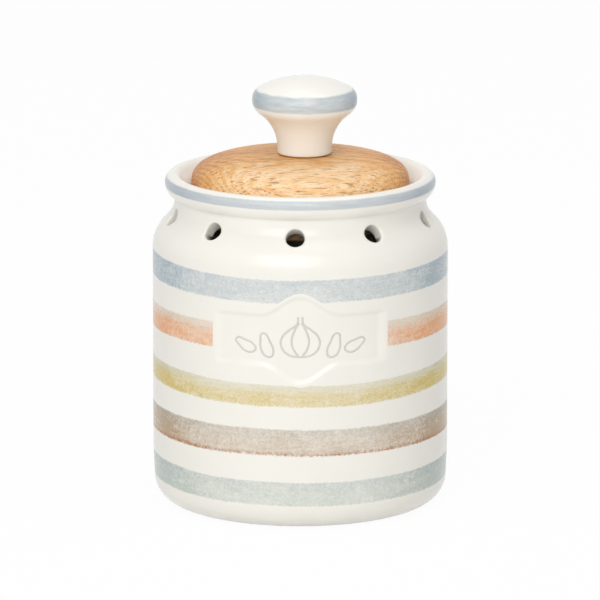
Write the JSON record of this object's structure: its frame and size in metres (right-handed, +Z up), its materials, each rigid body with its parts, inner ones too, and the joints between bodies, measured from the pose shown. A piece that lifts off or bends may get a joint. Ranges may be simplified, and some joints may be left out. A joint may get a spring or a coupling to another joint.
{
  "type": "garlic keeper",
  "caption": "Vented round stoneware jar with a flared lip, a pressed-in plaque and soft painted bands, closed by a lift-off beech lid with a glazed mushroom knob.",
  "frame": {"origin": "middle of the jar's base, in the plane of the foot ring it stands on", "axes": "+Z up along the jar's axis, -Y out of the front, where the plaque is, +X to the right as seen from the front"},
  "size_m": [0.114, 0.114, 0.1668],
  "materials": {
    "glazed_stoneware": "glossy cream glaze with soft painted bands",
    "beech": "oiled",
    "silicone": "matt translucent white",
    "glazed_knob": "glossy cream glaze with a grey-blue edge",
    "brass": "turned",
    "steel": "zinc plated"
  },
  "bodies": {
    "jar": {"jar": "glazed_stoneware"},
    "seal": {"seal_ring": "silicone"},
    "lid": {"lid_disc": "beech", "knob": "glazed_knob", "knob_insert": "brass", "knob_pad": "silicone", "screw_washer": "steel", "lid_screw": "steel"}
  },
  "joints": [
    {"name": "lid_lift", "type": "slide", "parent": "jar", "child": "seal", "axis": [0, 0, 1], "range_m": [0, 0.1]},
    {"name": "lid_turn", "type": "hinge", "parent": "seal", "child": "lid", "pos_m": [0, 0, 0.12], "axis": [0, 0, 1], "continuous": true}
  ]
}
